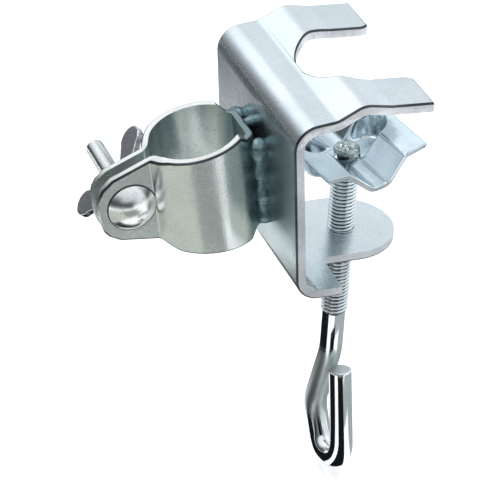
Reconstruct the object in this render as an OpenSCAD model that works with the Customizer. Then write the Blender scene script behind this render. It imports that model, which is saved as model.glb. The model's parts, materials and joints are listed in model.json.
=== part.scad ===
// Rail clamp with a pole collar, zinc-plated steel.
// Origin: middle of the back plate's inner face, where the rail seats.
// +X points away from the plate under the jaw, +Y runs along the rail, +Z is up. Units are mm.

/* [Bracket] */
// width of the bent bracket along the rail
bracket_w = 80; // [60:1:120]
// outside height of the bracket over both bends
bracket_h = 70.5; // [50:0.5:110]
// thickness of the bracket's sheet
sheet_t = 3.5; // [2:0.1:5]
// inner radius of the two large bends
bend_r = 5.5; // [3:0.5:10]
// angle by which the lower flange stands open from square
flange_open = 4.5; // [0:0.5:8]
// angle by which the upper strip stands open from square
jaw_open = 2; // [0:0.5:8]

/* [Jaw] */
// distance from the plate's inner face to the strip's crease
crease_x = 12.9; // [8:0.1:20]
// distance from the plate's inner face to the crest
crest_x = 22.9; // [16:0.1:32]
// height of the crest's corner over the strip
crest_z = 3.8; // [0:0.1:12]
// distance from the plate's inner face to the valley
valley_x = 32.3; // [26:0.1:42]
// height of the valley over the strip
valley_z = 1.1; // [-4:0.1:8]
// distance from the plate's inner face to the prong tips
tip_x = 48; // [38:0.5:64]
// height of the prong tips over the strip
tip_z = -1.5; // [-6:0.1:6]
// bend radius of the creases on the sheet's middle
crease_r = 7; // [4:0.5:12]
// width of the slot between the two prongs
slot_w = 39; // [20:1:60]
// distance from the plate's inner face to the slot's round end
slot_x = 13.6; // [8:0.1:24]
// radius of the prongs' corners at the slot
prong_in_r = 5; // [1:0.5:9]
// radius of the prongs' outer corners
prong_out_r = 2; // [0.5:0.5:9]

/* [Lower flange] */
// distance from the plate's inner face to the flange's step
step_x = 14.2; // [8:0.1:24]
// width of the tongue, whose end is a half circle about the screw
tongue_w = 39.5; // [24:0.5:60]
// distance from the plate's inner face to the screw's axis
screw_x = 29.5; // [20:0.5:44]
// radius of the small corners where the tongue leaves the step
step_r = 2.5; // [1:0.5:5]

/* [Clamp screw] */
// radius over the screw's thread
screw_r = 5; // [4:0.5:8]
// pitch of the screw's thread
screw_pitch = 1.5; // [1:0.25:2]
// running clearance between thread and tapped hole, on the radius
thread_gap = 0.05; // [0.02:0.01:0.1]
// radius of the plain shank and hook
shank_r = 4.4; // [3:0.1:7]
// length of thread over the flange's top face
thread_up = 27; // [15:0.5:60]
// length of thread under the flange's top face
thread_down = 36; // [10:0.5:60]
// length of the plain shank under the thread
shank_l = 15.5; // [5:0.5:40]
// angle from +X to the plane of the hook, about the screw's axis
hook_turn = -82; // [-180:1:180]
// angle by which the shank first bends out of line
hook_out = 17; // [5:1:40]
// length of the slanting limb
hook_slant = 23; // [10:0.5:50]
// angle by which the slanting limb turns in
hook_in = 44; // [10:1:80]
// bend radius of the hook's round bottom on the rod's middle
hook_r = 8.6; // [6:0.1:20]
// length of the limb that ends beside the shank
hook_end = 31; // [10:0.5:60]

/* [Pressure pad] */
// width of the pad across its trough
pad_w = 40; // [24:1:60]
// length of the pad along its trough
pad_l = 52; // [30:1:70]
// thickness of the pad's sheet
pad_t = 2; // [1:0.1:3]
// depth of the trough under the wings' inner creases
trough_d = 8.8; // [4:0.1:14]
// angle by which the pad is turned about the screw
pad_turn = 7; // [-30:1:30]
// angle by which the pad is tipped up at its outer wing
pad_tip = 6; // [-8:0.5:8]
// half width of the dimple pressed across the trough
dimple_r = 6.5; // [5:0.5:10]
// distance from the screw to the dimple's end centres
dimple_x = 9.5; // [4:0.5:14]

/* [Collar] */
// radius of the pole the collar takes
bore_r = 16.5; // [10:0.5:30]
// thickness of the collar's strap
strap_t = 2.8; // [1.5:0.1:4]
// half height of the strap at its back
strap_hb = 21.3; // [10:0.1:30]
// half height of the strap where the ears begin
strap_he = 16.4; // [8:0.1:24]
// half height of the ears at their ends
ear_h = 10.8; // [6:0.1:20]
// distance from the bore's axis to the ears' ends
ear_x = 39.2; // [28:0.1:60]
// gap between the two ears
ear_gap = 4.8; // [1:0.1:12]
// angle by which the collar leans from the plate
collar_lean = 5; // [0:0.5:10]
// height of the bore's middle
collar_z = -1.5; // [-20:0.5:20]

/* [Fasteners] */
// radius of the carriage bolt
bolt_r = 3.4; // [2:0.1:5]
// length of the carriage bolt under its head
bolt_l = 45; // [25:1:70]
// distance from the bore's axis to the bolt's axis
bolt_x = 27.5; // [20:0.5:40]
// span of the wing nut over both wings
wing_span = 39; // [20:1:60]
// height of the wing nut over its base
wing_h = 19; // [10:0.5:30]
// angle of the wing nut's wings about the bolt
wing_turn = -47; // [-180:1:180]
// radius of the carriage bolt's head
head_r = 9.1; // [5:0.1:12]
// height of the carriage bolt's head
head_k = 4.3; // [2:0.1:6]

/* [Hidden] */
$fn = 64;
steel = [0.72, 0.76, 0.78];
// mid-plane radius of the large bends
mid_r = bend_r + sheet_t / 2;
// height of the bend centres over and under the middle
bend_z = bracket_h / 2 - bend_r - sheet_t;
// height of the upper strip's middle at its bend
zt = bracket_h / 2 - sheet_t / 2;
// reach of the bodies that cut, past everything they cut
far = 200;
// depth of the screw's thread
thread_d = 0.85;
// neck of the screw through the pad, and the spread end over it
neck_r = 3.5;
neck_l = 4.4;
spread_r = 5.2;
spread_l = 2;
// room between the thread's end and the tipped pad
pad_lift = 1.1;
// gap left between lengths of rod inside each ball
joint_l = 0.2;
// radii of the collar's wall outside and in its middle
collar_ro = bore_r + strap_t;
collar_rm = bore_r + strap_t / 2;
// half height of the collar's flat back
flat_h = strap_hb - 3;
// gap between the collar's back and the plate
back_gap = 0.2;
collar_x = -sheet_t - back_gap - collar_ro * cos(collar_lean) - flat_h * sin(collar_lean);
// distance of an ear's middle from the bore's axis
ear_y = ear_gap / 2 + strap_t / 2;
// angles about the bore at which a round shell begins and ends
shell_a = 50;
shell_b = 155;
// bend radius of the strap's tight corners on its middle
strap_r = 2.4;
// height of the washer, and play under it and under the nut
washer_h = 1.6;
seat_gap = 0.05;

// unit vector, heading and turn of a path of points
function dir(a, b) = (b - a) / norm(b - a);
function head(a, b) = atan2(b[1] - a[1], b[0] - a[0]);
function wrap(a) = a > 180 ? a - 360 : a < -180 ? a + 360 : a;
function turn(p, i) = i <= 0 || i >= len(p) - 1 ? 0 : wrap(head(p[i], p[i + 1]) - head(p[i - 1], p[i]));
function trim(p, r, i) = r[i] * tan(abs(turn(p, i)) / 2);

// points of one side of a strip that follows the points p with bend radii r on its middle,
// o to the left of that middle
function side(p, r, o) = [for (i = [0 : len(p) - 1]) let (
        a = turn(p, i),
        d = dir(p[max(i, 1) - 1], p[max(i, 1)]),
        n = [-d[1], d[0]],
        m = a == 0 ? 0 : max(3, ceil(abs(a) / 6)))
    each a == 0 ? [p[i] + o * n] : [for (k = [0 : m]) let (
        c = p[i] - d * trim(p, r, i) + sign(a) * r[i] * n,
        h = a * k / m,
        u = -sign(a) * n,
        v = [u[0] * cos(h) - u[1] * sin(h), u[0] * sin(h) + u[1] * cos(h)])
        c + (r[i] - sign(a) * o) * v]];
function rev(l) = [for (i = [len(l) - 1 : -1 : 0]) l[i]];

// flat section of that strip with thickness t
module strip_2d(p, r, t)
{
    polygon(concat(side(p, r, t / 2), rev(side(p, r, -t / 2))));
}

// a section in X and Z drawn out along Y over the width w
module along_y(w)
{
    translate([0, w / 2, 0]) rotate([90, 0, 0]) linear_extrude(w) children();
}

// the lower flange's own frame: origin at its top face on the screw's axis
module on_flange()
{
    translate([bend_r, 0, -bend_z]) rotate([0, flange_open, 0])
        translate([screw_x - bend_r, 0, -bend_r]) children();
}

// the collar's own frame: origin in the middle of its bore
module on_collar()
{
    translate([collar_x, 0, collar_z]) rotate([0, -collar_lean, 0]) children();
}

// what is cut off a corner at the origin of a sheet that lies towards -X and towards s * Y
module corner_cut(r, s)
{
    translate([-r, s * r, 0]) difference()
    {
        translate([0, s > 0 ? -r - 1 : 0, 0]) cube([far, r + 1, far]);
        translate([0, 0, -1]) cylinder(h = far + 2, r = r);
    }
}

// outside of the tongue: everything past the step but a half circle about the screw
module tongue_cut()
{
    reach = screw_x - step_x;
    difference()
    {
        translate([-reach, -far]) square([far, 2 * far]);
        circle(tongue_w / 2);
        translate([-reach - 1, -tongue_w / 2]) square([reach + 1, tongue_w]);
        for (s = [-1, 1]) translate([-reach, s * tongue_w / 2]) difference()
        {
            translate([-1, -step_r]) square([1 + step_r, 2 * step_r]);
            translate([step_r, s * step_r]) circle(step_r);
        }
    }
}

module c_bracket()
{
    // headings along and over the upper strip, and along the lower flange
    along = [cos(jaw_open), sin(jaw_open)];
    over = [-along[1], along[0]];
    down = [cos(flange_open), -sin(flange_open)];
    corner_up = [-sheet_t / 2, zt - mid_r + mid_r * tan((90 - jaw_open) / 2)];
    corner_dn = [-sheet_t / 2, -zt + mid_r - mid_r * tan((90 - flange_open) / 2)];
    jaw = [[crease_x, 0], [crest_x, crest_z], [valley_x, valley_z], [tip_x, tip_z]];
    flange_l = screw_x + tongue_w / 2 + sheet_t / 2 + 0.2;
    path = concat([corner_dn + down * flange_l, corner_dn, corner_up],
        [for (q = jaw) corner_up + along * (q[0] + sheet_t / 2) + over * q[1]]);
    corner_x = tip_x + 1.2;
    color(steel) difference()
    {
        along_y(bracket_w) strip_2d(path, [0, mid_r, mid_r, crease_r, crease_r, crease_r, 0], sheet_t);
        // slot between the prongs, with a half-round inner end
        linear_extrude(far) translate([slot_x + slot_w / 2, 0])
        {
            translate([0, -slot_w / 2]) square([far, slot_w]);
            circle(slot_w / 2);
        }
        // rounded corners at the prong tips
        for (s = [-1, 1])
        {
            translate([corner_x, s * slot_w / 2, 0]) corner_cut(prong_in_r, s);
            translate([corner_x, s * bracket_w / 2, 0]) corner_cut(prong_out_r, -s);
        }
        on_flange() translate([0, 0, -2 * sheet_t]) linear_extrude(3 * sheet_t) tongue_cut();
        // tapped hole for the clamp screw
        on_flange() translate([0, 0, -2 * sheet_t]) cylinder(h = 3 * sheet_t, r = screw_r + thread_gap);
    }
}

// middle line of the collar's strap in plan: two ears, round shells and a flat back
function collar_path() = let (
        m = (shell_a + shell_b) / 2,
        v = collar_rm / cos((shell_b - shell_a) / 2) * [cos(m), sin(m)],
        w = [collar_rm, collar_rm * tan(shell_a / 2)],
        e = collar_rm * [cos(shell_b), sin(shell_b)],
        g = e + [-sin(shell_b), cos(shell_b)] * (e[1] - ear_y) / -cos(shell_b))
    [[-ear_x, ear_y], g, v, w, [w[0], -w[1]], [v[0], -v[1]], [g[0], -g[1]], [-ear_x, -ear_y]];
collar_radii = [0, strap_r, collar_rm, strap_r, strap_r, collar_rm, strap_r, 0];

// wedge from the bore's axis outwards, between the angles -a and a about +X or -X
module wedge(a, way, h)
{
    translate([0, 0, -h]) linear_extrude(2 * h)
        polygon([[0, 0], far * [way * cos(a), sin(a)], [way * far * 2, 0], far * [way * cos(a), -sin(a)]]);
}

// the strap drawn out along Z, its round shells true to the bore
module collar_wall(h)
{
    translate([0, 0, -h]) linear_extrude(2 * h) strip_2d(collar_path(), collar_radii, strap_t - 0.1);
    difference()
    {
        translate([0, 0, -h]) cylinder(h = 2 * h, r = collar_ro);
        translate([0, 0, -h - 1]) cylinder(h = 2 * h + 2, r = bore_r);
        // the open side at the ears and the flat side at the plate
        wedge(180 - shell_b, -1, h + 1);
        wedge(shell_a, 1, h + 1);
    }
}

// the same, filled
module collar_block()
{
    on_collar() translate([0, 0, -far / 2]) linear_extrude(far)
    {
        circle(collar_ro);
        polygon(side(collar_path(), collar_radii, strap_t / 2));
    }
}

module collar_strap()
{
    // upper half of the side outline, widest at the back, stepped in at the flat
    half = [[collar_ro + 1, 0], [collar_ro + 1, flat_h], [collar_ro - 4, flat_h], [collar_ro - 7, strap_hb],
        [-14, 18.7], [-19, strap_he], [-ear_x + 6, ear_h + 1.7], [-ear_x + 2, ear_h - 1.2],
        [-ear_x + 0.6, ear_h - 3.4], [-ear_x, ear_h - 6], [-ear_x, 0]];
    outline = concat(half, [for (i = [len(half) - 2 : -1 : 1]) [half[i][0], -half[i][1]]]);
    hole = bolt_r + 0.15;
    color(steel) on_collar() difference()
    {
        intersection()
        {
            collar_wall(strap_hb + 1);
            along_y(4 * collar_ro) polygon(outline);
        }
        // square hole in the near ear and round hole in the far ear
        translate([-bolt_x - hole, -ear_y - strap_t, -hole]) cube([2 * hole, 2 * strap_t, 2 * hole]);
        translate([-bolt_x, 0, 0]) rotate([-90, 0, 0]) cylinder(h = far, r = bolt_r + 0.3);
    }
}

// what the plate's outer face and the collar leave of a weld bead
module weld()
{
    color(steel) difference()
    {
        children();
        translate([-sheet_t, -far / 2, -far / 2]) cube([far, far, far]);
        collar_block();
    }
}

// wavy weld bead in the corner between the collar and the plate; s is its side
module weld_bead(s)
{
    y = s * (collar_rm * tan(shell_a / 2) + 3.4);
    lobe = 9.2;
    weld() for (i = [0 : 3]) translate([-sheet_t - 1.4 - i * 0.5, y, collar_z - 12.6 + i * lobe])
    {
        sphere(3.5 + i * 0.25, $fn = 32);
        if (i < 3) rotate([0, -3.1, 0]) cylinder(h = lobe, r = 2.7 + i * 0.25);
    }
}

// weld tack over the collar's back, on the plate
module weld_tack()
{
    color(steel) difference()
    {
        translate([-sheet_t - 1, 0, collar_z + flat_h + 0.8]) sphere(2.8, $fn = 32);
        translate([-sheet_t, -far / 2, -far / 2]) cube([far, far, far]);
        // the collar's back, up to its edge
        on_collar() translate([0, -far / 2, -far / 2])
            cube([collar_rm + strap_t / 2, far, far / 2 + flat_h]);
    }
}

// frame of the carriage bolt: origin under its head on the near ear, +Z along the bolt
module on_bolt()
{
    on_collar() translate([-bolt_x, -ear_gap / 2 - strap_t, 0]) rotate([-90, 0, 0]) children();
}

module carriage_bolt()
{
    dome_r = (head_r * head_r + head_k * head_k) / (2 * head_k);
    thread_l = 27;
    color(steel) on_bolt()
    {
        intersection()
        {
            translate([0, 0, dome_r - head_k]) sphere(dome_r, $fn = 96);
            translate([0, 0, -head_k - 1]) cylinder(h = head_k + 1, r = head_r + 1);
        }
        // square neck
        translate([-bolt_r, -bolt_r, -0.5]) cube([2 * bolt_r, 2 * bolt_r, 3.9]);
        // shank with its thread as rings 1 mm apart
        rotate_extrude() polygon(concat([[0, 0], [bolt_r, 0]],
            [for (i = [0 : thread_l - 2]) for (q = [[0, 0], [0.5, 0.5]])
                [bolt_r - q[0], bolt_l - thread_l + i + q[1]]],
            [[bolt_r - 0.4, bolt_l], [0, bolt_l]]));
    }
}

module washer()
{
    color(steel) on_bolt() translate([0, 0, ear_gap + 2 * strap_t + seat_gap]) difference()
    {
        cylinder(h = washer_h, r = 2 * bolt_r);
        translate([0, 0, -1]) cylinder(h = washer_h + 2, r = bolt_r + 0.2);
    }
}

module wing_nut()
{
    body_h = 9;
    lobe_r = 5;
    lobe_x = wing_span / 2 - lobe_r;
    lobe_z = wing_h - lobe_r;
    base = ear_gap + 2 * strap_t + washer_h + 2 * seat_gap;
    color(steel) on_bolt() translate([0, 0, base]) rotate(wing_turn) difference()
    {
        union()
        {
            cylinder(h = body_h, r1 = bolt_r + 3.4, r2 = bolt_r + 2);
            for (s = [0, 1]) mirror([s, 0, 0]) rotate([90, 0, 0]) translate([0, 0, -1.3]) linear_extrude(2.6)
            {
                translate([lobe_x, lobe_z]) circle(lobe_r);
                polygon([[0, 0.6], [6, 0.6], [lobe_x + 4.6, lobe_z - 2], [lobe_x - 4.4, lobe_z + 2.4],
                    [4.8, body_h - 0.6], [0, body_h - 0.6]]);
            }
        }
        translate([0, 0, -1]) cylinder(h = far, r = bolt_r + 0.05);
    }
}

// a straight length of rod down -Z with a ball at its end, then its children
module rod_down(l)
{
    translate([0, 0, -l + joint_l]) cylinder(h = l - 2 * joint_l, r = shank_r);
    translate([0, 0, -l]) rod_joint();
    translate([0, 0, -l]) children();
}

// a bend of the rod in the XZ plane, towards +X for a > 0, then its children
module rod_bend(r, a)
{
    s = sign(a);
    e = joint_l / r * 57.3;
    translate([s * r, 0, 0]) rotate([90, 0, 0]) rotate(s > 0 ? 180 + e : -abs(a) + e)
        rotate_extrude(angle = abs(a) - 2 * e) translate([r, 0]) circle(shank_r);
    translate([s * r, 0, 0]) rotate([0, -a, 0]) translate([-s * r, 0, 0])
    {
        rod_joint();
        children();
    }
}

module rod_joint()
{
    sphere(shank_r + 0.12);
}

// closed hook: out to one side, round the bottom, and back up beside the shank
module hook()
{
    rod_joint();
    rod_bend(15, -hook_out) rod_down(hook_slant) rod_bend(12, hook_in) rod_down(8) rod_bend(hook_r, 163)
        translate([0, 0, -hook_end]) cylinder(h = hook_end - joint_l, r = shank_r);
}

module clamp_screw()
{
    rings = floor((thread_up + thread_down) / screw_pitch);
    root = screw_r - thread_d;
    foot = -thread_down - screw_pitch;
    color(steel) on_flange()
    {
        // thread as rings, with a plain start at the top
        rotate_extrude() polygon(concat([[0, foot], [shank_r, foot]],
            [for (i = [rings - 1 : -1 : 0]) for (q = [[root, 0.93], [screw_r, 0.57], [screw_r, 0.43]])
                [q[0], thread_up - 1 - (i + q[1]) * screw_pitch]],
            [[root, thread_up - 0.9], [root, thread_up], [0, thread_up]]));
        translate([0, 0, thread_up]) cylinder(h = neck_l, r = neck_r);
        translate([0, 0, thread_up + neck_l]) cylinder(h = spread_l, r1 = spread_r, r2 = spread_r - 0.6);
        translate([0, 0, foot - shank_l + joint_l]) cylinder(h = shank_l, r = shank_r);
        translate([0, 0, foot - shank_l]) rotate(hook_turn) hook();
    }
}

// the pad's own frame: origin in its hole, under the floor of its dimple
module on_pad()
{
    on_flange() translate([0, 0, thread_up + pad_lift]) rotate([0, -flange_open - pad_tip, 0])
        rotate(pad_turn) children();
}

// region under the pad's upper face when d = 0, under its lower face when d = pad_t
module pad_under(d)
{
    top = pad_t + trough_d;
    edge = pad_w / 2 + 1;
    // half section: edge of the wing, the bend into the trough, the trough's flank and its floor
    half = [[-edge, top + 1.6 - d], [-11.6, top + 0.1 - d], [-10 - d * 0.3, top - 0.7 - d * 0.8],
        [-4 - d * 0.35, pad_t + 1.6 - d * 0.75], [-2.2 - d * 0.2, pad_t + 0.4 - d * 0.95], [0, pad_t - d]];
    along_y(pad_l) polygon(concat([[-edge, -far]], half,
        [for (i = [len(half) - 2 : -1 : 0]) [-half[i][0], half[i][1]]], [[edge, -far]]));
}

// racetrack across the trough, from the height z up
module pad_dimple(r, z)
{
    for (s = [-1, 1]) translate([s * dimple_x, 0, z]) cylinder(h = far, r = r);
    translate([-dimple_x, -r, z]) cube([2 * dimple_x, 2 * r, far]);
}

module pressure_pad()
{
    color(steel) on_pad() intersection()
    {
        translate([-pad_w / 2, -pad_l / 2, -1]) cube([pad_w, pad_l, far]);
        difference()
        {
            pad_under(0);
            pad_dimple(dimple_r, pad_t);
            difference()
            {
                pad_under(pad_t);
                pad_dimple(dimple_r + pad_t, 0);
            }
            // hole for the screw's neck
            translate([0, 0, -1]) cylinder(h = far, r = neck_r + 0.9);
        }
    }
}

c_bracket();
collar_strap();
weld_bead(-1);  // weld_bead_near
weld_bead(1);  // weld_bead_far
weld_tack();
carriage_bolt();
washer();
wing_nut();
clamp_screw();
pressure_pad();
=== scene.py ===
import json
import math

import bmesh
import bpy
from mathutils import Matrix, Vector, noise

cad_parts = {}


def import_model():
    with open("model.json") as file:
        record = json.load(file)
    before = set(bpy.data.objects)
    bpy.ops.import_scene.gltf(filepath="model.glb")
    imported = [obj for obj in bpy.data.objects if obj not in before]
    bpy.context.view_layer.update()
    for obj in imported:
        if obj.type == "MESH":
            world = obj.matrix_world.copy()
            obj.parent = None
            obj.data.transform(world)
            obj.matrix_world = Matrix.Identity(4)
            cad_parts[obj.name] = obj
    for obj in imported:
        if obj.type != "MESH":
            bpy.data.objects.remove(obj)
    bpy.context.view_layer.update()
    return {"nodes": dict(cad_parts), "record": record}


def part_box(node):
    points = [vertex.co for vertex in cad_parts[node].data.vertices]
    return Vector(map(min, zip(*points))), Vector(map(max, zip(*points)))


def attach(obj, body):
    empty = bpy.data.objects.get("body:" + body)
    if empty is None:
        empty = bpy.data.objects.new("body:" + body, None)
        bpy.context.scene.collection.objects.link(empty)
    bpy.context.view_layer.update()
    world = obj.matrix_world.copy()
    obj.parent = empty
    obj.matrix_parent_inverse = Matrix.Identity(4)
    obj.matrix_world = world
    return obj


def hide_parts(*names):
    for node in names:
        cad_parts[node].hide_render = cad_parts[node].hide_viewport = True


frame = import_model()
record = frame["record"]
scene = bpy.context.scene
MM = 0.001

joints = {j["name"]: j for j in record["behaviour"]["joints"]}
mounts = {m["name"]: m for m in record["mounts"]}


def frame_of(origin, x, y, z):
    """Matrix of a local frame given by its origin and unit axes, in metres."""
    m = Matrix.Identity(4)
    for i, axis in enumerate((x, y, z)):
        m.col[i][:3] = axis
    m.col[3][:3] = origin
    return m


def upright_frame(origin, axis):
    """Local frame whose Z is axis and whose Y is the row's +Y."""
    z = Vector(axis).normalized()
    y = Vector((0, 1, 0))
    return frame_of(origin, y.cross(z).normalized(), y, z)


SCREW = upright_frame(joints["screw_turn"]["pos_m"], joints["screw_turn"]["axis"])
COLLAR = upright_frame(mounts["pole_collar"]["pos_m"], mounts["pole_collar"]["axis"])
COLLAR_X, COLLAR_Z = COLLAR.col[0].xyz, COLLAR.col[2].xyz
BOLT = frame_of(joints["wing_nut_turn"]["pos_m"], COLLAR_X, -COLLAR_Z, joints["wing_nut_turn"]["axis"])

# sizes of the screw, in mm, in its own frame: origin at the flange's top face
PITCH = 1.5
SCREW_R, ROOT_R, SHANK_R = 5.0, 4.15, 4.4
THREAD_TOP, THREAD_FOOT = 27.0, -37.5
NECK_R, NECK_TOP = 3.5, 31.4
SPREAD_R, SPREAD_TOP = 5.2, 33.4
SHANK_FOOT = THREAD_FOOT - 15.5
HOOK_TURN = math.radians(-82)


# ---------------------------------------------------------------- camera
def photo_camera():
    cam = bpy.data.cameras.new("camera")
    obj = bpy.data.objects.new("camera", cam)
    scene.collection.objects.link(obj)
    right = Vector((0.9394, -0.342, -0.0226))
    up = Vector((0.2047, 0.507, 0.8373))
    m = frame_of(Vector((-264.9, -743.36, 477.26)) * MM, right, up, right.cross(up))
    obj.matrix_world = m
    cam.sensor_width = 36.0
    cam.lens = 36.0 * 2573.25 / 500
    cam.clip_start = 0.05
    cam.clip_end = 20
    scene.camera = obj


photo_camera()


# ---------------------------------------------------------------- materials
class Nodes:
    """Short forms for building a node tree."""

    def __init__(self, name):
        self.mat = bpy.data.materials.new(name)
        self.mat.use_nodes = True
        self.tree = self.mat.node_tree
        self.tree.nodes.clear()
        self.out = self.add("ShaderNodeOutputMaterial")
        self.coord = self.add("ShaderNodeTexCoord").outputs["Object"]

    @classmethod
    def on_tree(cls, tree):
        t = cls.__new__(cls)
        t.tree = tree
        tree.nodes.clear()
        return t

    def add(self, kind, **values):
        node = self.tree.nodes.new(kind)
        for key, value in values.items():
            if hasattr(node, key):
                setattr(node, key, value)
            else:
                node.inputs[key.replace("_", " ")].default_value = value
        return node

    def link(self, a, b):
        self.tree.links.new(a, b)

    def noise(self, scale, detail=3.0, rough=0.55, stretch=None, seed=0.0):
        n = self.add("ShaderNodeTexNoise", Scale=scale, Detail=detail, Roughness=rough)
        mapping = self.add("ShaderNodeMapping")
        mapping.inputs["Location"].default_value = (seed, seed * 0.7, seed * 1.3)
        mapping.inputs["Scale"].default_value = stretch or (1, 1, 1)
        self.link(self.coord, mapping.inputs["Vector"])
        self.link(mapping.outputs["Vector"], n.inputs["Vector"])
        return n.outputs["Fac"]

    def remap(self, value, lo, hi, to_lo, to_hi):
        n = self.add("ShaderNodeMapRange")
        self.link(value, n.inputs["Value"])
        for key, v in (("From Min", lo), ("From Max", hi), ("To Min", to_lo), ("To Max", to_hi)):
            n.inputs[key].default_value = v
        return n.outputs["Result"]

    def math(self, op, a, b):
        n = self.add("ShaderNodeMath", operation=op)
        for i, v in enumerate((a, b)):
            if isinstance(v, (int, float)):
                n.inputs[i].default_value = v
            else:
                self.link(v, n.inputs[i])
        return n.outputs[0]

    def mix(self, fac, a, b):
        n = self.add("ShaderNodeMix", data_type="RGBA")
        ins = [s for s in n.inputs if s.enabled]
        self.link(fac, ins[0])
        for s, v in zip(ins[1:], (a, b)):
            if isinstance(v, tuple):
                s.default_value = (*v, 1)
            else:
                self.link(v, s)
        return [s for s in n.outputs if s.enabled][0]

    def bump(self, height, strength, distance, normal=None):
        n = self.add("ShaderNodeBump")
        n.inputs["Strength"].default_value = strength
        n.inputs["Distance"].default_value = distance
        self.link(height, n.inputs["Height"])
        if normal is not None:
            self.link(normal, n.inputs["Normal"])
        return n.outputs["Normal"]


def zinc(name, light, dark, rough, grain=0.25, grain_mm=0.35, wave=0.15, wear=0.25, brushed=None,
         zone=(), zone_colour=(0.5, 0.5, 0.5), zone_rough=0.4):
    """Zinc-plated steel: colour between light and dark in soft patches, roughness between the two
    values of rough, a fine grain of bump, slow waviness, and brighter worn edges. Inside the zone,
    which rises from 0 to 1 along each (axis, from, to) in mm, the colour and roughness differ."""
    t = Nodes(name)
    patches = t.noise(60, 4, seed=1.7)
    fine = t.noise(0.35 / (grain_mm * MM), 4, 0.62, stretch=brushed, seed=3.1)
    specks = t.noise(0.8 / (grain_mm * MM), 2, 0.5, seed=5.3)
    colour = t.mix(t.remap(patches, 0.3, 0.7, 0, 1), light, dark)
    colour = t.mix(t.remap(specks, 0.56, 0.72, 0, 0.5), colour, tuple(0.72 * c for c in dark))
    pointy = t.add("ShaderNodeNewGeometry").outputs["Pointiness"]
    edge = t.math("MULTIPLY", t.remap(pointy, 0.52, 0.62, 0, wear), t.remap(fine, 0.35, 0.6, 0.3, 1))
    colour = t.mix(edge, colour, (0.93, 0.94, 0.95))
    roughness = t.remap(t.math("ADD", t.math("MULTIPLY", patches, 0.6), t.math("MULTIPLY", fine, 0.4)),
                        0.3, 0.7, rough[0], rough[1])
    if zone:
        split = t.add("ShaderNodeSeparateXYZ")
        t.link(t.add("ShaderNodeTexCoord").outputs["Object"], split.inputs[0])
        inside = 0.92
        for axis, start, end in zone:
            rise = t.remap(split.outputs[axis], start * MM, end * MM, 0, 1)
            inside = t.math("MULTIPLY", rise, inside)
        colour = t.mix(inside, colour, zone_colour)
        extra = t.math("MULTIPLY", inside, zone_rough - rough[0])
        roughness = t.math("ADD", roughness, extra)
    normal = t.bump(t.noise(140, 2, seed=9.2), wave, 0.3 * MM)
    normal = t.bump(fine, grain, 0.05 * MM, normal)
    shader = t.add("ShaderNodeBsdfPrincipled", Metallic=1.0)
    t.link(colour, shader.inputs["Base Color"])
    t.link(roughness, shader.inputs["Roughness"])
    t.link(normal, shader.inputs["Normal"])
    t.link(shader.outputs[0], t.out.inputs["Surface"])
    return t.mat


# painted shade: dark teal laid on the collar's strap and rim where they come to the plate and the weld
WELD_SIDE_SHADE = (0.20, 0.28, 0.30)
# the zone paints the collar's dark reflection on the plate's outer face beside the near weld
SHEET = zinc("sheet_zinc", (0.84, 0.88, 0.91), (0.72, 0.77, 0.80), (0.17, 0.31),
             grain=0.75, grain_mm=0.5, wave=0.10, zone_colour=(0.36, 0.43, 0.45), zone_rough=0.3,
             zone=(("X", -3.0, -3.4), ("Z", -18, -10), ("Y", -8, -14)))
# painted shade: a darker colour for the upper strip's underside
SHEET_UNDER_SHADE = zinc("sheet_underside_shade", (0.56, 0.64, 0.67), (0.42, 0.49, 0.52), (0.20, 0.34),
                   grain=0.75, grain_mm=0.5)
SHEARED = zinc("sheared_edge", (0.66, 0.67, 0.69), (0.44, 0.45, 0.48), (0.34, 0.52),
               grain=1.0, grain_mm=0.6, wave=0.3, wear=0.6)
# the zone paints shade on the strap next to the plate
STRAP = zinc("strap_zinc", (0.80, 0.83, 0.81), (0.68, 0.72, 0.71), (0.17, 0.32),
             grain=0.70, grain_mm=0.5, zone=(("X", -14.0, -10.5),), zone_colour=WELD_SIDE_SHADE, zone_rough=0.35)
# the zone paints shade on the rim next to the plate
STRAP_RIM = zinc("strap_rim", (0.90, 0.88, 0.85), (0.62, 0.61, 0.59), (0.22, 0.38),
                 grain=0.8, grain_mm=0.5, wear=0.6,
                 zone=(("X", -13.5, -11.0),), zone_colour=WELD_SIDE_SHADE, zone_rough=0.35)
WELD = zinc("weld_zinc", (0.22, 0.31, 0.33), (0.12, 0.18, 0.20), (0.32, 0.46),
            grain=0.30, grain_mm=0.7, wave=0.3)
# painted dark line: on the sheet parts' outer edges it stands in for a dark reflection, round the bolt's
# head for its contact shadow
PAINTED_DARK_LINE = zinc("edge_dark_paint", (0.12, 0.13, 0.14), (0.03, 0.035, 0.04), (0.25, 0.40),
                 grain=0.8, grain_mm=0.6, wear=0.0)
# painted shade for the thread's grooves
GROOVE_SHADE = zinc("thread_groove_shade", (0.16, 0.20, 0.21), (0.06, 0.08, 0.09), (0.25, 0.40), grain=0.4, wear=0.0)
# the zone paints the hook's slanted limb a darker grey as painted shade, and makes it rougher
ROD = zinc("rod_zinc", (0.88, 0.90, 0.91), (0.78, 0.81, 0.82), (0.05, 0.11),
           grain=0.06, wave=0.05, wear=0.1, zone_colour=(0.52, 0.57, 0.56), zone_rough=0.42,
           zone=(("Z", -84, -90), ("Z", -124, -117), ("Y", -6, -2)))
THREAD = zinc("thread_zinc", (0.84, 0.87, 0.88), (0.62, 0.67, 0.69), (0.10, 0.22),
              grain=0.2, wave=0.1, wear=0.5)
SAWN = zinc("sawn_end", (0.66, 0.70, 0.70), (0.46, 0.50, 0.50), (0.30, 0.45),
            grain=0.9, grain_mm=0.5, brushed=(0.15, 1, 1))
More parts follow.
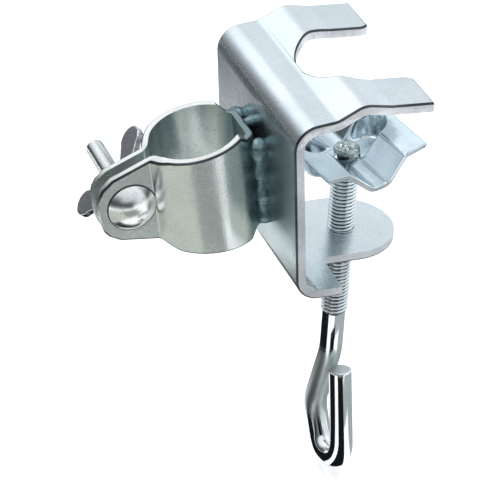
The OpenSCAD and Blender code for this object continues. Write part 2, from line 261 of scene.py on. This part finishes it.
# near-black patches on the spread end: painted dark reflection
PEENED_DARK_REFLECTION = zinc("peened_end_dark_reflection", (0.62, 0.68, 0.68), (0.03, 0.04, 0.05), (0.05, 0.14),
              grain=0.8, grain_mm=0.9, wave=1.0)
PAD = zinc("pad_zinc", (0.74, 0.82, 0.86), (0.52, 0.61, 0.66), (0.09, 0.19), grain=0.30, wave=0.30)
HEAD = zinc("bolt_head_zinc", (0.86, 0.87, 0.86), (0.62, 0.64, 0.64), (0.17, 0.28),
            grain=0.5, grain_mm=0.5, wave=0.2)
BOLT_MAT = zinc("bolt_zinc", (0.88, 0.89, 0.88), (0.76, 0.78, 0.78), (0.07, 0.15), grain=0.12, wave=0.12)
NUT = zinc("nut_zinc", (0.62, 0.62, 0.64), (0.42, 0.42, 0.44), (0.22, 0.38),
           grain=0.5, grain_mm=0.5, wave=0.4)


# ---------------------------------------------------------------- mesh helpers
def mesh_object(name, bm, materials, smooth_deg=35.0):
    me = bpy.data.meshes.new(name)
    bmesh.ops.recalc_face_normals(bm, faces=bm.faces)
    bm.to_mesh(me)
    bm.free()
    for m in materials:
        me.materials.append(m)
    obj = bpy.data.objects.new(name, me)
    scene.collection.objects.link(obj)
    me.shade_smooth()
    me.set_sharp_from_angle(angle=math.radians(smooth_deg))
    return obj


def apply_modifiers(obj):
    graph = bpy.context.evaluated_depsgraph_get()
    me = bpy.data.meshes.new_from_object(obj.evaluated_get(graph))
    obj.modifiers.clear()
    obj.data = me


def place(obj, matrix):
    obj.data.transform(matrix)
    obj.data.update()


def grid_faces(bm, rows, closed_u):
    """Quads between the rows of vertices."""
    for a, b in zip(rows, rows[1:]):
        n = len(a)
        for i in range(n if closed_u else n - 1):
            j = (i + 1) % n
            bm.faces.new((a[i], a[j], b[j], b[i]))


def lathe(bm, profile, segments=72, bend=None):
    """Revolves (r, z) points in mm about Z; r = 0 ends close to a point."""
    rows = []
    for k, (r, z) in enumerate(profile):
        if r < 1e-6:
            rows.append([bm.verts.new((0, 0, z * MM))])
            continue
        ring = []
        for i in range(segments):
            a = 2 * math.pi * i / segments
            rr, zz = bend(r, z, a) if bend else (r, z)
            ring.append(bm.verts.new((rr * math.cos(a) * MM, rr * math.sin(a) * MM, zz * MM)))
        rows.append(ring)
    for a, b in zip(rows, rows[1:]):
        if len(a) == 1 or len(b) == 1:
            tip, ring = (a[0], b) if len(a) == 1 else (b[0], a)
            for i in range(segments):
                bm.faces.new((tip, ring[i], ring[(i + 1) % segments]))
        else:
            grid_faces(bm, [a, b], True)
    return rows


def cad_copy(node):
    """bmesh of a CAD node with its coplanar triangles joined."""
    bm = bmesh.new()
    bm.from_mesh(frame["nodes"][node].data)
    bm.transform(frame["nodes"][node].matrix_world)
    bmesh.ops.remove_doubles(bm, verts=bm.verts, dist=1e-6)
    bmesh.ops.dissolve_limit(bm, angle_limit=math.radians(0.4), verts=bm.verts, edges=bm.edges)
    return bm


def bevelled(name, bm, materials, outward, angle=38.0, segments=3):
    """Rounds the edges of a sheet part. Faces of material 1 are cut through the sheet's thickness;
    the edges they share with the outer skin, where outward(face) is true, get material 2."""
    weight = bm.edges.layers.float.new("bevel_weight_edge")
    for e in bm.edges:
        if len(e.link_faces) == 2 and e.calc_face_angle() > math.radians(angle):
            cut, skin = sorted(e.link_faces, key=lambda f: -f.material_index)
            if cut.material_index == 1 and skin.material_index == 0 and outward(skin):
                e[weight] = 1.0
    obj = mesh_object(name, bm, materials)
    # the outer skin's edges are rounded and get the painted dark line, a painted reflection
    line = obj.modifiers.new("roll_over_dark_line", "BEVEL")
    line.width = EDGE_W * MM
    line.segments = segments
    line.limit_method = "WEIGHT"
    line.harden_normals = True
    line.material = 2
    line.use_clamp_overlap = False
    mod = obj.modifiers.new("bevel", "BEVEL")
    mod.width = EDGE_ROUND * MM
    mod.segments = segments
    mod.limit_method = "ANGLE"
    mod.angle_limit = math.radians(angle)
    mod.harden_normals = True
    apply_modifiers(obj)
    return obj


# ---------------------------------------------------------------- bracket and collar
# in mm: width of the outer skin's rolled-over edges, painted as a dark line that stands in for a dark
# reflection, and of the other edges' rounding
EDGE_W, EDGE_ROUND = 0.7, 0.3
# a point inside the C, just over its lower flange
INSIDE = Vector((27, 0, -33)) * MM
# the flanges' leaves are beyond these, and faces that look down above UNDERSIDE_Z are the strip's underside,
# painted darker as shade
LEAF_X, LEAF_Z, UNDERSIDE_Z = 8, 28, -15.0


def bracket():
    bm = cad_copy("c_bracket")
    for f in bm.faces:
        n, c = f.normal, f.calc_center_median() / MM
        on_leaf = c.x > LEAF_X and abs(c.z) > LEAF_Z
        f.material_index = 1 if abs(n.y) > 0.5 or (on_leaf and abs(n.z) < 0.6) else 0

    def outward(f):
        c = f.calc_center_median()
        return f.normal.x * (c.x - INSIDE.x) + f.normal.z * (c.z - INSIDE.z) > 0

    obj = bevelled("bracket_sheet", bm, [SHEET, SHEARED, PAINTED_DARK_LINE, SHEET_UNDER_SHADE], outward)
    # faces of the upper strip's underside take the painted shade
    for p in obj.data.polygons:
        if p.material_index == 0 and p.normal.z < -0.5 and p.center.z > UNDERSIDE_Z * MM:
            p.material_index = 3
    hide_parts("c_bracket")
    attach(obj, "clamp_body")


def collar():
    bm = cad_copy("collar_strap")
    # slivers would stop the roll-over from running along the rim
    bmesh.ops.remove_doubles(bm, verts=bm.verts, dist=0.06 * MM)
    for f in bm.faces:
        along = f.normal.dot(COLLAR_Z)
        f.material_index = 1 if abs(along) > 0.5 else 0
    axis = COLLAR.translation

    def outward(f):
        away = f.calc_center_median() - axis
        return f.normal.dot(away) > 0

    obj = bevelled("collar_band", bm, [STRAP, STRAP_RIM, PAINTED_DARK_LINE], outward)
    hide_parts("collar_strap")
    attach(obj, "clamp_body")


def weld(node, name):
    """A weld bead with rounded, rippled lobes."""
    bm = cad_copy(node)
    obj = mesh_object(name, bm, [WELD], 180)
    mod = obj.modifiers.new("remesh", "REMESH")
    mod.mode = "VOXEL"
    mod.voxel_size = 0.35 * MM
    smooth = obj.modifiers.new("smooth", "SMOOTH")
    smooth.iterations = 28
    smooth.factor = 0.5
    apply_modifiers(obj)
    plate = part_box("c_bracket")[0].x / MM
    shell = mounts["pole_collar"]["dims"]["r_mm"] + STRAP_T
    into_collar = COLLAR.inverted()
    for v in obj.data.vertices:
        p = v.co / MM
        q = into_collar @ v.co / MM
        reach = math.hypot(q.x, q.y)
        ripple = 0.35 * noise.noise(p * 0.35) + 0.08 * noise.noise(p * 0.9)
        v.co += v.normal * (ripple - 0.1) * MM
        # the bead runs into the plate and into the collar
        v.co.x += 1.1 * smooth_step(p.x, plate - 1.0, plate - 0.3) * MM
        sink = 0.9 * (1 - smooth_step(reach, shell + 0.3, shell + 1.1))
        if reach > 1:
            v.co -= (COLLAR_X * q.x + Vector((0, 1, 0)) * q.y) / reach * sink * MM
    obj.data.materials.clear()
    obj.data.materials.append(WELD)
    obj.data.shade_smooth()
    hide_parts(node)
    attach(obj, "clamp_body")


# ---------------------------------------------------------------- bolt, washer and wing nut
def thread_wave(phase):
    """Depth from 0 at the root to 1 at the crest over one turn."""
    x = abs((phase % 1.0) - 0.5) * 2
    return min(1.0, max(0.0, (0.88 - x) / 0.70))


def threaded_rows(z0, z1, root, crest, pitch, step, fade):
    """(r, z) profile rows and the function that turns them into a helix; fade(z) is 0 to 1."""
    count = round((z1 - z0) / step)
    rows = [(crest, z0 + (z1 - z0) * i / count) for i in range(count + 1)]

    def helix(r, z, a):
        depth = thread_wave(z / pitch - a / (2 * math.pi)) * fade(z)
        return root + (crest - root) * depth, z

    return rows, helix


# width of the painted dark line round the bolt's head, a painted contact shadow, in mm
HEAD_SHADOW_LINE = 0.45


def carriage_bolt():
    head_r, head_k, length, r = 9.1, 4.3, 45.0, 3.4
    dome_r = (head_r ** 2 + head_k ** 2) / (2 * head_k)
    rim = math.asin(head_r / dome_r)
    bm = bmesh.new()
    dome = [(0, -head_k)]
    for i in range(1, 29):
        a = rim * 0.985 * i / 28
        dome.append((dome_r * math.sin(a), dome_r - head_k - dome_r * math.cos(a)))
    dome += [(head_r, -0.22), (head_r - 0.05, -0.06), (head_r - 0.25, 0)]
    dome += [(r + 0.6, 0), (r + 0.6, 0.4), (0, 0.4)]
    lathe(bm, dome, 96)
    # the head's rim gets the painted dark line: painted contact shadow
    for f in bm.faces:
        c = f.calc_center_median() / MM
        f.material_index = 1 if math.hypot(c.x, c.y) > head_r - HEAD_SHADOW_LINE else 0
    # square neck in the near ear
    neck = bmesh.ops.create_cube(bm, size=1.0)["verts"]
    for v in neck:
        v.co = Vector((v.co.x * 2 * r, v.co.y * 2 * r, 1.6 + v.co.z * 3.4)) * MM
    head = mesh_object("bolt_head", bm, [HEAD, PAINTED_DARK_LINE], 30)
    place(head, BOLT)
    bm = bmesh.new()
    start = length - 27
    rows, helix = threaded_rows(start - 1, length - 0.5, r - 0.55, r, 1.0, 0.1,
                                lambda z: max(0.0, min(1.0, (length - z) / 0.8)))

    def shaft(rr, z, a):
        if z < start:
            return r - 0.02, z
        return helix(rr, z, a) if z <= length - 0.5 else (rr, z)

    tip = [(r - 0.75, length - 0.1), (r - 0.95, length), (0, length)]
    lathe(bm, [(0, 3.0), (r - 0.02, 3.0)] + rows + tip, 48, shaft)
    shank = mesh_object("bolt_shank", bm, [BOLT_MAT], 50)
    place(shank, BOLT)
    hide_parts("carriage_bolt")
    for obj in (head, shank):
        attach(obj, "clamp_body")


def washer():
    bm = bmesh.new()
    base, h, ro, ri = 10.45, 1.6, 6.8, 3.6
    ring = [(ri + 0.15, 0), (ro - 0.3, 0), (ro - 0.08, 0.1), (ro, 0.35), (ro, h - 0.15), (ro - 0.12, h),
            (ri + 0.15, h), (ri, h - 0.15), (ri, 0.15), (ri + 0.15, 0)]
    lathe(bm, [(r, base + z) for r, z in ring], 72)
    bmesh.ops.remove_doubles(bm, verts=bm.verts, dist=1e-7)
    obj = mesh_object("bolt_washer", bm, [BOLT_MAT], 30)
    place(obj, BOLT)
    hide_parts("washer")
    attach(obj, "washer")


def wing_nut():
    bm = cad_copy("wing_nut")
    obj = mesh_object("cast_wing_nut", bm, [NUT], 180)
    mod = obj.modifiers.new("remesh", "REMESH")
    mod.mode = "VOXEL"
    mod.voxel_size = 0.3 * MM
    smooth = obj.modifiers.new("smooth", "SMOOTH")
    smooth.iterations = 7
    smooth.factor = 0.5
    apply_modifiers(obj)
    obj.data.materials.clear()
    obj.data.materials.append(NUT)
    obj.data.shade_smooth()
    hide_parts("wing_nut")
    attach(obj, "wing_nut")


# ---------------------------------------------------------------- clamp screw
def hook_path():
    """Points of the rod's middle from the thread's foot to the cut end, in mm."""
    pts = [Vector((0, 0, THREAD_FOOT + 0.6))]
    heading = 0.0
    p = Vector((0, 0, SHANK_FOOT))
    pts += [Vector((0, 0, THREAD_FOOT + (SHANK_FOOT - THREAD_FOOT) * i / 6)) for i in range(1, 6)]
    side = Vector((math.cos(HOOK_TURN), math.sin(HOOK_TURN), 0))

    def ahead(h):
        return side * math.sin(h) - Vector((0, 0, 1)) * math.cos(h)

    for radius, angle, straight in ((15, -17, 23), (12, 44, 8), (8.6, 163, 31)):
        steps = max(4, round(abs(angle) / 4))
        arc = math.radians(angle) / steps
        for _ in range(steps):
            pts.append(p.copy())
            p = p + ahead(heading + arc / 2) * (2 * radius * math.sin(abs(arc) / 2))
            heading += arc
        count = max(2, round(straight / 2))
        for _ in range(count):
            pts.append(p.copy())
            p = p + ahead(heading) * (straight / count)
    pts.append(p)
    return pts


def sweep(bm, pts, radius, segments=56):
    """A rod round a path of points, in mm, with open ends."""
    rows = []
    prev = None
    for i, p in enumerate(pts):
        t = (pts[min(i + 1, len(pts) - 1)] - pts[max(i - 1, 0)]).normalized()
        if prev is None:
            u = Vector((1, 0, 0))
        else:
            u = prev
        u = (u - t * u.dot(t)).normalized()
        prev = u
        w = t.cross(u)
        rows.append([bm.verts.new((p + (u * math.cos(a) + w * math.sin(a)) * radius(i)) * MM)
                     for a in (2 * math.pi * k / segments for k in range(segments))])
    grid_faces(bm, rows, True)
    return rows


def smooth_points(pts, times):
    for _ in range(times):
        pts = [pts[0]] + [(a + b * 2 + c) / 4 for a, b, c in zip(pts, pts[1:], pts[2:])] + [pts[-1]]
    return pts


# the thread is painted dark below this radius: painted shade in its grooves
GROOVE_R = ROOT_R + 0.4 * (SCREW_R - ROOT_R)


def clamp_screw():
    bm = bmesh.new()

    def fade(z):
        return max(0.0, min(1.0, (THREAD_TOP - 0.2 - z) / 0.9, (z - THREAD_FOOT + 0.2) / 1.6))

    rows, helix = threaded_rows(THREAD_FOOT, THREAD_TOP, ROOT_R, SCREW_R, PITCH, 0.125, fade)

    def shape(r, z, a):
        if z < THREAD_FOOT - 0.01 or z > THREAD_TOP + 0.01:
            return r, z
        rr, zz = helix(r, z, a)
        low = max(0.0, min(1.0, (THREAD_FOOT + 1.6 - z) / 1.6))
        return max(rr, ROOT_R + (SHANK_R - ROOT_R) * low), zz

    foot = [(0, THREAD_FOOT - 0.5), (SHANK_R - 0.15, THREAD_FOOT - 0.5)]
    head = [(ROOT_R - 0.25, THREAD_TOP + 0.02), (0, THREAD_TOP + 0.02)]
    lathe(bm, foot + rows + head, 80, shape)
    # faces deep in the thread get the dark colour as painted shade
    for f in bm.faces:
        c = f.calc_center_median() / MM
        deep = math.hypot(c.x, c.y) < GROOVE_R
        f.material_index = 1 if deep and THREAD_FOOT < c.z < THREAD_TOP else 0
    thread = mesh_object("screw_thread", bm, [THREAD, GROOVE_SHADE], 60)
    place(thread, SCREW)

    # neck and spread end, its top beaten down in a cross
    bm = bmesh.new()

    def beaten(r, z, a):
        if z < NECK_TOP + 0.3:
            return r, z
        lobe = math.cos(2 * a + 0.5) ** 2
        wobble = 0.10 * math.sin(7 * a + 1.1) + 0.06 * math.sin(13 * a)
        if z > SPREAD_TOP - 0.45:
            dip = 0.9 * math.exp(-((r - 2.6) / 1.5) ** 2) * lobe
            return r * (1 - 0.05 * lobe) + wobble * (r / SPREAD_R), z - dip - 0.05 * lobe
        return r - 0.10 - 0.25 * lobe * (z - NECK_TOP) / 2 + wobble, z

    neck_foot = NECK_TOP - 4.5
    top = [(0, neck_foot), (NECK_R, neck_foot), (NECK_R, NECK_TOP - 0.3), (NECK_R + 0.3, NECK_TOP)]
    top += [(SPREAD_R - 0.4, NECK_TOP), (SPREAD_R - 0.15, NECK_TOP + 0.35), (SPREAD_R - 0.1, NECK_TOP + 0.9),
            (SPREAD_R - 0.4, SPREAD_TOP - 0.5), (SPREAD_R - 0.9, SPREAD_TOP - 0.1)]
    top += [(SPREAD_R - 1.2 - 0.3 * i, SPREAD_TOP) for i in range(13)] + [(0, SPREAD_TOP)]
    lathe(bm, top, 96, beaten)
    # the spread end's material carries the painted dark reflection
    end = mesh_object("screw_spread_end", bm, [PEENED_DARK_REFLECTION], 45)
    place(end, SCREW)

    bm = bmesh.new()
    pts = smooth_points(hook_path(), 6)
    last = len(pts) - 1
    tip = pts[-1] - pts[-2]
    back = tip.normalized()
    pts = pts[:-1] + [pts[-1] - back * 0.8, pts[-1] - back * 0.35, pts[-1] - back * 0.1, pts[-1]]
    chamfer = {last + 1: 0.0, last + 2: 0.12, last + 3: 0.38}
    rings = sweep(bm, pts, lambda i: SHANK_R - chamfer.get(i, 0.0))
    cut = bm.faces.new(rings[-1])
    cut.material_index = 1
    bm.faces.new(list(reversed(rings[0])))
    rod = mesh_object("hooked_rod", bm, [ROD, SAWN], 40)
    place(rod, SCREW)
    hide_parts("clamp_screw")
    for obj in (thread, end, rod):
        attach(obj, "screw")


# ---------------------------------------------------------------- pressure pad
PAD_W, PAD_L, PAD_T, TROUGH = 40.0, 52.0, 2.0, 8.8
# how the pad sits on the screw's end: height over the thread in mm, tip and turn in degrees
PAD_LIFT, PAD_TIP, PAD_TURN = 1.1, -10.5, 7
STRAP_T = 2.8


def smooth_step(x, lo, hi):
    t = max(0.0, min(1.0, (x - lo) / (hi - lo)))
    return t * t * (3 - 2 * t)


def pad_height(x, y):
    """Upper face of the pad over its hole's lower rim, in mm: wings, trough and cross dimple."""
    top = PAD_T + TROUGH
    ax = abs(x)
    samples = []
    for k in range(-4, 5):
        u = abs(ax + k * 0.22)
        if u >= 10.6:
            h = top + (u - 10.6) * 0.16
        elif u >= 2.9:
            h = PAD_T + 0.35 + (u - 2.9) / 7.7 * (TROUGH - 0.35)
        else:
            h = PAD_T + 0.35 * (u / 2.9) ** 2
        samples.append(h)
    plain = sum(samples) / len(samples)
    # distance outside the racetrack
    dx = max(0.0, ax - 9.5)
    d = math.hypot(dx, y) - 6.5
    wall = smooth_step(d, -1.1, 1.3)
    return PAD_T * (1 - wall) + plain * wall


def pressure_pad():
    nx, ny = 150, 190
    bm = bmesh.new()
    hole = 4.4
    rows = []
    for j in range(ny + 1):
        y = -PAD_L / 2 + PAD_L * j / ny
        row = []
        for i in range(nx + 1):
            x = -PAD_W / 2 + PAD_W * i / nx
            # the outer edges roll over a little where they were sheared
            edge = min(PAD_W / 2 - abs(x), PAD_L / 2 - abs(y))
            roll = 0.25 * max(0.0, 1 - edge / 0.5) ** 2
            row.append(bm.verts.new((x * MM, y * MM, (pad_height(x, y) - roll) * MM)))
        rows.append(row)
    for j in range(ny):
        for i in range(nx):
            quad = (rows[j][i], rows[j][i + 1], rows[j + 1][i + 1], rows[j + 1][i])
            cx = sum(v.co.x for v in quad) / 4 / MM
            cy = sum(v.co.y for v in quad) / 4 / MM
            if math.hypot(cx, cy) > hole + 0.15:
                bm.faces.new(quad)
    for v in [v for v in bm.verts if not v.link_faces]:
        bm.verts.remove(v)
    # the hole's stepped rim is pulled on to its circle
    for v in bm.verts:
        if v.is_boundary and math.hypot(v.co.x, v.co.y) < 7 * MM:
            r = math.hypot(v.co.x, v.co.y)
            v.co.x *= hole * MM / r
            v.co.y *= hole * MM / r
    obj = mesh_object("pressed_pad", bm, [PAD, SHEARED], 180)
    mod = obj.modifiers.new("thick", "SOLIDIFY")
    mod.thickness = PAD_T * MM
    mod.offset = -1
    mod.use_even_offset = True
    mod.material_offset_rim = 1
    bev = obj.modifiers.new("bevel", "BEVEL")
    bev.width = 0.22 * MM
    bev.segments = 2
    bev.limit_method = "ANGLE"
    bev.angle_limit = math.radians(55)
    apply_modifiers(obj)
    obj.data.shade_smooth()
    obj.data.set_sharp_from_angle(angle=math.radians(50))
    pad_frame = SCREW @ Matrix.Translation(Vector((0, 0, THREAD_TOP + PAD_LIFT)) * MM)
    pad_frame = pad_frame @ Matrix.Rotation(math.radians(PAD_TIP), 4, "Y")
    pad_frame = pad_frame @ Matrix.Rotation(math.radians(PAD_TURN), 4, "Z")
    place(obj, pad_frame)
    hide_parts("pressure_pad")
    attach(obj, "pad")


bracket()
collar()
weld("weld_bead_near", "weld_near")
weld("weld_bead_far", "weld_far")
weld("weld_tack", "weld_spot")
carriage_bolt()
washer()
wing_nut()
clamp_screw()
pressure_pad()

# ---------------------------------------------------------------- floor, cards and light
FLOOR_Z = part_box("clamp_screw")[0][2] - 0.1 * MM
HOOK = Vector((25.0 * MM, -3.0 * MM, FLOOR_Z))
# the dark screen in front of the hook's closing limb, in mm
LIMB_SCREEN_R, LIMB_SCREEN_H = 40.0, 35.0


def floor():
    t = Nodes("floor")
    n = t.noise(30, 3)
    colour = t.mix(n, (0.93, 0.93, 0.93), (0.96, 0.96, 0.96))
    diffuse = t.add("ShaderNodeBsdfDiffuse")
    t.link(colour, diffuse.inputs["Color"])
    gloss = t.add("ShaderNodeBsdfGlossy")
    gloss.inputs["Roughness"].default_value = 0.13
    gloss.inputs["Color"].default_value = (0.95, 0.95, 0.95, 1)
    mix = t.add("ShaderNodeMixShader")
    mix.inputs[0].default_value = 0.20
    t.link(diffuse.outputs[0], mix.inputs[1])
    t.link(gloss.outputs[0], mix.inputs[2])
    glow = t.add("ShaderNodeEmission")
    glow.inputs["Strength"].default_value = 0.42
    both = t.add("ShaderNodeAddShader")
    t.link(mix.outputs[0], both.inputs[0])
    t.link(glow.outputs[0], both.inputs[1])
    t.link(both.outputs[0], t.out.inputs["Surface"])
    bm = bmesh.new()
    bmesh.ops.create_grid(bm, x_segments=2, y_segments=2, size=3.0)
    obj = mesh_object("floor", bm, [t.mat])
    place(obj, Matrix.Translation((0, 0, FLOOR_Z)))


def card_material(name, level):
    t = Nodes(name)
    shade = t.add("ShaderNodeEmission")
    shade.inputs["Color"].default_value = (*level, 1)
    clear = t.add("ShaderNodeBsdfTransparent")
    mix = t.add("ShaderNodeMixShader")
    t.link(t.add("ShaderNodeNewGeometry").outputs["Backfacing"], mix.inputs[0])
    t.link(shade.outputs[0], mix.inputs[1])
    t.link(clear.outputs[0], mix.inputs[2])
    t.link(mix.outputs[0], t.out.inputs["Surface"])
    return t.mat


def arc(at, r, deg0, deg1, z):
    """Points of an arc about the point at, r in mm, at the height z over the floor in mm."""
    angles = [math.radians(deg0 + (deg1 - deg0) * i / 24) for i in range(25)]
    return [(at.x + r * MM * math.cos(a), at.y + r * MM * math.sin(a), FLOOR_Z + z * MM) for a in angles]


def floor_card(name, deg0, deg1, r0, r1, level, lift):
    """A card lying round the hook, seen only in reflections: a sector between two azimuths
    and two radii."""
    bm = bmesh.new()
    rows = []
    for r in (r0, r1):
        rows.append([bm.verts.new(p) for p in arc(HOOK, r, deg0, deg1, lift)])
    grid_faces(bm, rows, False)
    me = bpy.data.meshes.new(name)
    bm.to_mesh(me)
    bm.free()
    if me.polygons[0].normal.z < 0:
        me.flip_normals()
    hidden_card(me, level)


def hidden_card(me, level):
    me.materials.append(card_material(me.name, level))
    obj = bpy.data.objects.new(me.name, me)
    scene.collection.objects.link(obj)
    obj.visible_camera = False
    obj.visible_diffuse = False
    obj.visible_shadow = False
    obj.visible_transmission = False


def limb_card():
    """A low dark screen round the front of the hook's closing limb, seen only in reflections."""
    limb = SCREW @ (hook_path()[-1] * MM)
    bm = bmesh.new()
    rows = []
    for z in (0.33, LIMB_SCREEN_H):
        rows.append([bm.verts.new(p) for p in arc(limb, LIMB_SCREEN_R, 228, 272, z)])
    grid_faces(bm, rows, False)
    me = bpy.data.meshes.new("card_limb")
    bm.to_mesh(me)
    bm.free()
    if me.polygons[0].normal.dot(me.polygons[0].center - limb) > 0:
        me.flip_normals()
    hidden_card(me, BLACK)


def world():
    """A bright room behind and above the object, dark behind the camera and low on the left."""
    w = bpy.data.worlds.new("studio")
    scene.world = w
    w.use_nodes = True
    t = Nodes.on_tree(w.node_tree)
    out = t.add("ShaderNodeOutputWorld")
    coord = t.add("ShaderNodeTexCoord").outputs["Generated"]
    split = t.add("ShaderNodeSeparateXYZ")
    t.link(coord, split.inputs[0])
    x, z = split.outputs["X"], split.outputs["Z"]

    def toward(direction):
        n = t.add("ShaderNodeVectorMath", operation="DOT_PRODUCT")
        t.link(coord, n.inputs[0])
        n.inputs[1].default_value = direction
        return n.outputs["Value"]

    ramp = t.add("ShaderNodeValToRGB")
    t.link(z, ramp.inputs[0])
    stops = ((0.0, (0.50, 0.54, 0.56)), (0.2, (0.74, 0.79, 0.83)),
             (0.5, (0.78, 0.85, 0.90)), (0.8, (1.05, 1.07, 1.08)))
    elements = ramp.color_ramp.elements
    while len(elements) < len(stops):
        elements.new(0.5)
    for e, (pos, col) in zip(elements, stops):
        e.position = pos
        e.color = (*col, 1)
    glow = t.remap(toward((-0.140, 0.797, 0.588)), 0.93, 0.985, 0, 0.38)
    glow = t.math("ADD", glow, t.remap(x, 0.42, 0.56, 0, 0.22))
    behind = t.remap(toward((-0.62, -0.785, 0)), 0.50, 0.68, 0, 1)
    behind = t.math("MULTIPLY", behind, t.remap(z, 0.12, 0.30, 1, 0))
    left = t.math("MULTIPLY", t.remap(x, -0.32, -0.62, 0, 0.85), t.remap(z, 0.32, 0.60, 1, 0))
    light = t.math("SUBTRACT", 1.0, t.math("MAXIMUM", t.math("MULTIPLY", behind, 0.97), left))
    strength = t.math("MULTIPLY", t.math("ADD", glow, 1.0), light)
    back = t.add("ShaderNodeBackground")
    t.link(ramp.outputs[0], back.inputs["Color"])
    t.link(strength, back.inputs["Strength"])
    t.link(back.outputs[0], out.inputs["Surface"])


def softbox(name, at, size, power, look=(0, 0, -0.03)):
    light = bpy.data.lights.new(name, "AREA")
    light.shape = "RECTANGLE"
    light.size, light.size_y = size
    light.energy = power
    obj = bpy.data.objects.new(name, light)
    scene.collection.objects.link(obj)
    obj.location = at
    obj.rotation_euler = (Vector(look) - Vector(at)).to_track_quat("-Z", "Y").to_euler()


floor()
world()
softbox("key", (-0.35, 0.35, 1.0), (0.5, 0.5), 2.0)
BLACK, DARK, DIM = (0.008, 0.010, 0.012), (0.07, 0.09, 0.09), (0.20, 0.22, 0.23)
MID, SOFT, GREY = (0.30, 0.33, 0.32), (0.42, 0.46, 0.47), (0.38, 0.40, 0.42)
PALE, CREAM = (0.70, 0.77, 0.77), (0.62, 0.66, 0.60)
for place_no, (card, *sector) in enumerate((
        ("card_left", 136, 201, 8, 70, BLACK),
        ("card_left_far", 100, 201, 70, 150, BLACK),
        ("card_front", 228, 272, 8, 56, BLACK),
        ("card_right", -48, 60, 8, 150, SOFT),
        ("card_front_far", -101, -48, 85, 150, SOFT),
        ("card_collar_left", 150, 232, 155, 460, CREAM),
        ("card_collar_mid", 232, 280, 155, 460, MID),
        ("card_collar_right", 280, 300, 215, 262, MID),
        ("card_plate_low", 100, 136, 150, 240, PALE),
        ("card_plate_a", 100, 119, 240, 305, (0.56, 0.58, 0.60)),
        ("card_plate_b", 100, 119, 305, 345, GREY),
        ("card_plate_c", 85, 119, 345, 2900, DIM),
        ("card_plate_edge", 119, 145, 240, 2900, DARK),
        ("card_behind", 195, 275, 900, 2900, BLACK))):
    floor_card(card, *sector, 0.30 + 0.02 * max(0, place_no - 1))
limb_card()

scene.view_settings.view_transform = "Standard"
scene.cycles.sample_clamp_indirect = 6.0
scene.cycles.max_bounces = 10
scene.cycles.glossy_bounces = 8
